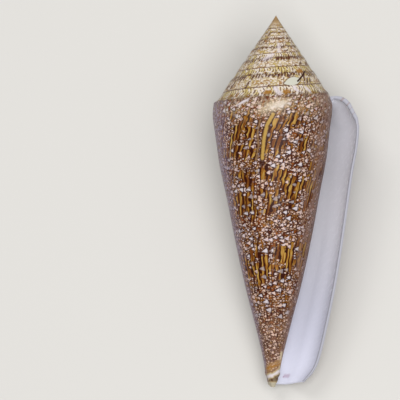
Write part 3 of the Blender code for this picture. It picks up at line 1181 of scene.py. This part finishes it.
    def ochre(self, off: Wire) -> Wire:
        """The colours of a streak, from its middle to its dark edges."""
        pigments = self.pigments
        streaks = self.ochre_streaks
        fibres = self.growth_noise(90.0, 0.15)
        ochre = self.blend(fibres.rise(0.42, 0.55), pigments.dark_ochre, pigments.ochre)
        ochre = ochre.under(pigments.olive_yellow, fibres.rise(0.52, 0.64))
        margin = streaks.widest - streaks.narrowing * self.growth_noise(40.0, 0.4, 1.0)
        return ochre.under(pigments.darkest, (off - margin).rise(-0.02, 0.08))

    def netting(self) -> Wire:
        """The ground of the body whorl: brown net, ochre streaks and four sizes of tents."""
        pigments = self.pigments
        foot = self.depth.rise(*self.foot_depths)
        newer = self.turn.rise(*self.newer_turns)
        net = self.blend(self.mottle.rise(0.42, 0.62), pigments.brown, pigments.rust)
        net = net.under(pigments.ochre, self.grains.rise(0.45, 0.65), 0.7)
        net = net.under(pigments.mauve_brown, foot, 0.65)
        net = net.under(self.blend(self.mottle, pigments.pink_cream, pigments.grey_lilac), newer, 0.6)

        outline, own = self.tents(self.finest)
        cells = self.blend(own, pigments.pink_cream, pigments.tan).under(pigments.white, newer, 0.75)
        net = self.tented(net, self.finest, outline, cells)
        outline, own = self.tents(self.small)
        net = self.tented(net, self.small, outline, pigments.pink_cream, own.rise(*self.small.chosen))

        shows, off = self.streaks()
        faint = self.growth_noise(40.0, 0.2).rise(0.42, 0.55)
        net = net.under(pigments.darkest, off.rise(0.34, 0.42) * faint, 0.85)
        net = net.under(self.ochre(off), shows)

        outline, own = self.tents(self.medium)
        sparser = self.depth.rise(*self.sparser_depths) * 0.3
        keep = (own - sparser).rise(*self.medium.chosen)
        keep = keep * (1.0 - shows * own.rise(0.88, 0.72)) * (1.0 - foot * 0.9)
        pale = self.blend(own, pigments.white, pigments.pink_cream)
        pale = pale.under(pigments.lilac, self.crumbs.rise(0.45, 0.7), 0.6)
        net = self.tented(net, self.medium, outline, pale, keep)

        outline, own = self.tents(self.large)
        row = self.depth.within(*self.white_row) * 0.4
        keep = (own + row).rise(*self.large.chosen) * (1.0 - shows * 0.6) * (1.0 - foot)
        net = self.tented(net, self.large, outline, pigments.white, keep)
        return net.under(pigments.darkest, self.growth_noise(100.0, 0.12).rise(0.41, 0.33), 0.55)

    def veiled(self, ground: Wire) -> Wire:
        """Lay the shoulder's strokes, the tan back of the foot, a band of painted edge shade and sheen
        on the left flank, and the pale lilac and mauve veils of the newest and the oldest growth.
        """
        pigments = self.pigments
        cloud = self.noise(self.scaled(self.flat, 1.0 / self.cloud_size), 3.0)

        shoulder = self.share.rise(*self.shoulder_shares)
        strokes = self.growth_noise(120.0, 0.7)
        ground = ground.under(pigments.warm_cream, shoulder * strokes.rise(0.4, 0.56), 0.3)
        ground = ground.under(pigments.rust, shoulder * strokes.rise(0.44, 0.36), 0.5)

        back_foot = self.depth.rise(*self.back_foot_depths) * self.turn.rise(*self.back_foot_turns)
        ground = ground.under(pigments.tan, back_foot * self.crumbs.rise(0.35, 0.6), 0.5)

        # A grey-lilac and lilac band along the flank that forms the shell's left edge seen from the
        # aperture: painted shade and sheen.
        edge = (self.turn + (cloud - 0.5) * self.edge_shade_and_sheen_wander).within(*self.edge_shade_and_sheen_turns)
        ground = ground.under(pigments.grey_lilac, edge * cloud.rise(0.3, 0.6), 0.7)
        ground = ground.under(pigments.lilac, edge * self.crumbs.rise(0.45, 0.6), 0.6)

        newest = self.turn.rise(*self.newest_turns) * (1.0 - self.depth.rise(*self.newest_end) * 0.6)
        hatch = self.growth_noise(150.0, 1.2, 1.0)
        newest = newest * (cloud.rise(0.1, 0.6) * 0.5 + hatch.rise(0.4, 0.6) * 0.35)
        ground = ground.under(pigments.lilac, newest)

        near_lip = self.turn.rise(*self.near_lip_turns)
        lines = self.growth_noise(110.0, 0.12)
        ground = ground.under(pigments.mauve_brown, near_lip * lines.rise(0.42, 0.54), 0.75)
        return ground.under(pigments.brown, near_lip * lines.rise(0.46, 0.38), 0.7)

    def crescents(self) -> Wire:
        """The ramps: white, cream and yellow patches under thin dark crescents."""
        pigments = self.pigments
        ground = self.blend(self.crumbs.rise(0.42, 0.58), pigments.warm_cream, pigments.warm_white)
        patch = self.bead_noise(0.3, self.turn * 3.0).rise(0.42, 0.54)
        ground = ground.under(pigments.yellow_green, patch * (self.mottle.rise(0.35, 0.55) * 0.6 + 0.3))
        low = self.across.rise(0.2, 0.6)
        ground = ground.under(pigments.ochre, self.mottle.rise(0.56, 0.62) * low, 0.85)
        lines = self.dark_crescents
        bulge = self.across * (1.0 - self.across) * lines.bulge
        wobble = self.bead_noise(0.6, self.across * 2.0) * lines.wobble
        place = self.bead - bulge + self.across * lines.slant + wobble
        off = abs(place.maths("FRACT") - 0.5)
        width = lines.width * self.bead_noise(0.9, self.across * 3.0 + 7.0, 1.0)
        ground = ground.under(pigments.dot_brown, (off - width).rise(*lines.edge), lines.strength)
        # White blotches, with a row of painted highlight down the spire.
        return ground.under(pigments.warm_white, self.blotches(), 0.85)

    def blotches(self) -> Wire:
        """White blotches of the spire, with more of them in one row from apex to shoulder: that row is
        a painted highlight.
        """
        place = self.vector("ADD", self.scaled(self.flat, 1.0 / self.blotch_size), self.blotch_seed)
        # More blotches in one row down the spire's front: a painted highlight.
        row = self.turn.maths("FRACT").within(*self.painted_highlight_row) * self.painted_highlight_gain
        return (self.noise(place) + row).rise(0.60, 0.65)

    def dots(self) -> Wire:
        """The dark dotted row along every shoulder, fainter on the last one."""
        dots = self.shoulder_dots
        wobble = self.bead_noise(0.7, self.turn * 5.0, 1.0)
        place = self.bead + wobble * dots.wobble + self.across * dots.slant
        off = abs(place.maths("FRACT") - 0.5)
        row = abs(self.across - 1.0 - (wobble - 0.5) * dots.scatter).rise(*dots.height)
        chance = self.bead_noise(0.45, self.turn * 11.0, 1.0).rise(*dots.shown)
        older = self.turn.rise(*dots.last_turns) * (1.0 - dots.last_strength)
        return row * off.rise(*dots.length) * chance * (older + dots.last_strength)

    def spire_sides(self) -> Wire:
        """Fine brown and cream netting between the dotted row and the suture."""
        pigments = self.pigments
        ground = self.blend(self.mottle.rise(0.4, 0.6), pigments.tan, pigments.warm_cream)
        patch = self.bead_noise(0.25, self.turn * 3.0 + 20.0)
        ground = ground.under(pigments.yellow_green, patch.rise(0.48, 0.6), 0.7)
        outline, own = self.tents(self.on_spire)
        ground = ground.under(pigments.brown, outline.rise(*self.on_spire.rim), 0.7)
        pale = self.blend(own, pigments.warm_white, pigments.warm_cream)
        ground = ground.under(pale, outline.rise(*self.on_spire.face))
        flecks = self.noise(self.join(self.bead * 0.9 + self.across * 1.8, self.across * 1.5), 1.0)
        ground = ground.under(pigments.dot_brown, flecks.rise(0.56, 0.64), 0.85)
        # White blotches, with a row of painted highlight down the spire.
        return ground.under(pigments.warm_white, self.blotches(), 0.7)

    def marks(self) -> list[Mark]:
        """The marks that this shell alone has: smears, growth marks and a chipped scar."""
        pigments = self.pigments
        front = self.shoulder_radius
        back = self.back_radius
        smear = ((0.7675, 29.8), (0.7525, 33.0), (0.746, 37.0))
        thread = ((0.734, 31.5), (0.727, 35.0), (0.731, 39.0), (0.724, 43.0))
        old_lip = ((0.335, 27.5), (0.285, 37.0), (0.262, 55.0), (0.24, 90.0))
        older_lip = ((0.375, 29.0), (0.325, 40.0), (0.316, 60.0), (0.30, 95.0))
        scratch = ((1.906, 16.75), (1.8635, 19.15), (1.851, 19.95))
        marks = [
            Mark(smear + ((0.741, 44.0),), front, 0.85, 0.2, pigments.darkest, 0.9),
            Mark(smear + ((0.743, 42.5),), front, 0.5, 0.25, pigments.olive_yellow, 0.9),
            Mark(thread, front, 0.55, 0.3, pigments.darkest, 0.8),
            Mark(thread, front, 0.15, 0.4, pigments.tan, 0.8),
            Mark(((0.735, 28.6), (0.81, 25.8)), front, 1.3, 1.6, pigments.warm_cream, 0.6, 0.6),
            Mark(((0.76, 27.8), (0.80, 26.4)), front, 0.6, 1.2, pigments.warm_white, 0.7, 0.6),
            Mark(((0.665, 27.2), (0.70, 25.3)), front, 0.35, 0.3, pigments.white, 0.9, 0.6),
            Mark(old_lip, back, 0.9, 0.4, pigments.growth_brown, 0.5),
            Mark(old_lip, back, 0.45, 0.4, pigments.tip_cream, 0.7),
            Mark(older_lip, back, 0.5, 0.6, pigments.growth_brown, 0.7),
            Mark(((0.36, 28.0), (0.31, 32.0)), 18.0, 1.6, 2.0, pigments.white, 0.6, 0.6),
            Mark(((1.796, 20.9), (1.870, 19.1)), 13.0, 1.35, 0.12, pigments.brown, 0.8, 1.0),
            Mark(((1.800, 20.8), (1.867, 19.1)), 13.0, 1.15, 0.1, pigments.chip, 1.0, 1.0),
            Mark(scratch, 12.5, 0.22, 0.08, pigments.darkest, 1.0),
            Mark(((0.925, 99.8), (0.93, 105.2)), 3.2, 0.5, 0.4, pigments.warm_cream, 0.9),
        ]
        for run, around in (
            (((0.80, 23.2), (0.812, 23.0)), front),
            (((0.745, 23.4), (0.757, 23.2)), front),
            (((1.872, 16.9), (1.888, 16.5)), 11.6),
        ):
            marks.append(Mark(run, around, 0.6, 0.3, pigments.ochre, 0.9))
        marks += [
            Mark(((2.786, 12.8), (2.894, 12.4)), 8.7, 0.3, 0.45, pigments.brown, 0.65),
            Mark(((2.714, 13.3), (2.758, 11.9)), 8.9, 0.5, 0.45, pigments.white, 0.75),
            Mark(((3.794, 8.5), (3.794, 10.8)), 6.5, 0.45, 0.4, pigments.white, 0.75),
            Mark(((0.772, 22.2), (0.785, 23.6)), front, 0.7, 0.3, pigments.white, 0.8),
        ]
        for run in ((0.833, 21.9), (0.84, 22.6)), ((0.877, 21.8), (0.884, 22.6)):
            marks.append(Mark(run, front, 0.6, 0.3, pigments.white, 0.85))
        return marks

    def columella(self, ground: Wire) -> Wire:
        """The end of the columella: ochre, a white ridge, a grey-brown groove and a cream tip."""
        pigments = self.pigments
        tip = self.tip
        slope = (self.turn - tip.middle_turn) * tip.drop_per_turn
        ragged = self.depth + (self.mottle - 0.5) * tip.raggedness + slope
        folds = self.turn.rise(*self.folded_turns)
        streaky = folds * (self.crumbs.rise(0.35, 0.6) * 0.6 + 0.3)
        ground = ground.under(pigments.tan, ragged.within(*tip.tan) * streaky)
        ground = ground.under(pigments.golden, ragged.rise(*tip.golden) * folds)
        ground = ground.under(pigments.ochre, ragged.within(*tip.ochre) * streaky)
        ground = ground.under(pigments.tip_cream, ragged.within(*tip.ridge) * folds)
        ground = ground.under(pigments.white, ragged.within(*tip.ridge_top) * folds)
        groove = ragged.rise(*tip.groove_start) * self.depth.rise(*tip.groove_end) * folds
        ground = ground.under(pigments.groove_grey, groove, 0.9)
        ground = ground.under(pigments.brown, groove * self.crumbs.rise(0.5, 0.6), 0.7)
        return ground.under(pigments.tip_cream, self.depth.rise(*tip.end))

    def porcelain(self) -> Wire:
        """The glossy white inside: bluish lower down, where a darker tone is painted shade; a mauve
        smudge at the base; a grey rim of painted shade on the lip's edge.
        """
        pigments = self.pigments
        # Bluish tint lower down; it is also darker there, painted shade that offsets the brighter light
        # on the lower inside.
        bluish = self.depth.rise(*self.bluish_shade_depths)
        ground = self.blend(bluish, pigments.porcelain, pigments.porcelain_blue_shade)
        smudge = Mark(((0.13, 107.0), (0.155, 107.0)), 7.0, 0.5, 0.4, pigments.smudge, 0.5)
        spot = Mark(((0.16, 107.3), (0.165, 107.3)), 7.0, 0.15, 0.1, pigments.smudge, 0.8)
        ground = self.marked(self.marked(ground, smudge), spot)
        # The lip's edge faces the light, so its grey is painted shade that keeps it as dark as the
        # shaded inside; the ticks on it are real marks.
        rim = self.turn.rise(*self.rim_turns)
        ground = ground.under(pigments.porcelain_rim_shade, rim)
        ticks = self.noise(self.join(self.depth * 2.2, 3.0), 0.0).rise(0.56, 0.62)
        return ground.under(pigments.tick, rim * ticks * self.depth.rise(*self.rim_tick_depths), 0.4)

    def past(self, part: Part) -> Wire:
        """1 on a part of the surface and on those listed after it, 0 on those before it."""
        return self.part.rise(part.value - 0.6, part.value - 0.4)

    def lay(self) -> None:
        """Lay the colours of all parts, the gloss and the fine relief."""
        pigments = self.pigments
        is_inside = self.past(Part.INSIDE)
        colour = self.veiled(self.netting()).under(self.crescents(), self.past(Part.RAMP))
        colour = colour.under(self.spire_sides(), self.past(Part.SPIRE_SIDE))
        colour = colour.under(pigments.dot_brown, self.dots(), 0.9)
        # A brown line at the bottom of each spire whorl, in the suture's crease: painted shade.
        suture = self.across.rise(*self.suture_shade_places) * self.turn.rise(*self.spire_turns)
        colour = colour.under(pigments.brown, suture, 0.8)
        colour = colour.under(pigments.golden, self.turn.rise(*self.tip_turns), 0.6)
        for mark in self.marks():
            colour = self.marked(colour, mark)
        colour = self.columella(colour).under(self.porcelain(), is_inside)
        gloss = self.gloss
        lines = self.growth_noise(gloss.lines_per_turn, gloss.lines_per_mm)
        relief = {"Strength": gloss.relief, "Distance": gloss.relief_height, "Height": lines}
        uneven = (self.mottle - 0.5) * gloss.unevenness
        values = {
            "Base Color": colour,
            "Roughness": gloss.roughness + uneven - is_inside * gloss.smoother_inside,
            "Specular IOR Level": gloss.specular,
            "Coat Weight": gloss.coat,
            "Coat Roughness": gloss.coat_roughness,
            "Normal": self.node("ShaderNodeBump", {}, relief),
        }
        for name, value in values.items():
            self.feed(self.surface.inputs[name], value)


@dataclass(frozen=True)
class Softbox:
    """A square area light, placed right of, above and behind the middle of the picture."""

    name: str
    place: tuple[float, float, float]
    size: float
    power: float

    def add(self, axes: Matrix, target: Vector) -> None:
        """Add the light and aim it.

        Args:
            axes: the camera's right, up and backward directions.
            target: the point it shines on.
        """
        light = bpy.data.lights.new(self.name, "AREA")
        light.size = self.size
        light.energy = self.power
        lamp = bpy.data.objects.new(self.name, light)
        lamp.location = target + axes @ Vector(self.place)
        lamp.rotation_euler = (target - lamp.location).to_track_quat("-Z", "Y").to_euler()
        bpy.context.collection.objects.link(lamp)


@dataclass
class Studio:
    """A pale floor, soft light and a camera that looks straight down on the aperture."""

    floor_size: float = 4.0
    floor_colour: Colour = linear(192, 190, 186)
    lens: float = 200.0
    distance: float = 659.0
    apex_right: float = 22.53
    apex_up: float = 54.56
    tilt: float = math.radians(0.463)
    softboxes: tuple[Softbox, ...] = (
        Softbox("key", (-0.35, 0.6, 0.65), 0.4, 2.5),
        Softbox("front", (0.08, 0.0, 0.95), 0.8, 10.2),
    )
    daylight: float = 0.4

    def lay_floor(self) -> None:
        """Lay the floor that the shell rests on."""
        bpy.ops.object.select_all(action="DESELECT")
        bpy.ops.mesh.primitive_plane_add(size=self.floor_size)
        floor = bpy.context.object
        floor.name = "floor"
        finish = Finish("floor")
        finish.feed(finish.surface.inputs["Base Color"], self.floor_colour)
        finish.feed(finish.surface.inputs["Roughness"], 0.8)
        floor.data.materials.append(finish.material)

    def light(self, resting: Matrix) -> None:
        """Hang the softboxes and fill the room with pale light.

        Args:
            resting: the turn and shift that lay the upright shell down.
        """
        axes = resting.to_3x3() @ Matrix.Rotation(math.radians(90.0), 3, "X")
        for softbox in self.softboxes:
            softbox.add(axes, Vector((0.0, 0.0, 0.02)))
        world = bpy.data.worlds.new("room")
        world.use_nodes = True
        background = world.node_tree.nodes["Background"]
        background.inputs["Color"].default_value = (1.0, 1.0, 1.0, 1.0)
        background.inputs["Strength"].default_value = self.daylight
        bpy.context.scene.world = world
        bpy.context.scene.view_settings.view_transform = "Standard"

    def aim_camera(self, resting: Matrix) -> None:
        """Look at the shell as the photograph does, square to its axis.

        Args:
            resting: the turn and shift that lay the upright shell down.
        """
        turned = resting.to_3x3()
        right = turned @ Vector((1.0, 0.0, 0.0))
        ahead = turned @ Vector((0.0, 1.0, 0.0))
        up = turned @ Vector((0.0, 0.0, 1.0))
        tilted_right = right * math.cos(self.tilt) + up * math.sin(self.tilt)
        tilted_up = up * math.cos(self.tilt) - right * math.sin(self.tilt)
        to_apex = (tilted_right * self.apex_right + tilted_up * self.apex_up) * MM
        middle = resting.translation - to_apex
        axes = Matrix((tilted_right, tilted_up, -ahead)).transposed().to_4x4()
        lens = bpy.data.cameras.new("camera")
        lens.lens = self.lens
        camera = bpy.data.objects.new("camera", lens)
        camera.matrix_world = Matrix.Translation(middle - ahead * self.distance * MM) @ axes
        bpy.context.collection.objects.link(camera)
        bpy.context.scene.camera = camera


def main() -> None:
    """Build, dress and stage the shell."""
    logging.basicConfig(level=logging.INFO, format="%(message)s")
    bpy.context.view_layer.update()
    cone = ConeShell()
    shell = cone.build()
    shell.data.materials.append(ShellFinish(Pigments()).material)
    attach(shell, "root")
    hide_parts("shell")
    LOG.info("shell: %d faces", len(shell.data.polygons))
    studio = Studio()
    studio.lay_floor()
    studio.light(cone.resting())
    studio.aim_camera(cone.resting())
    LOG.info("studio: floor, %d softboxes and camera", len(studio.softboxes))


if __name__ == "__main__":
    main()
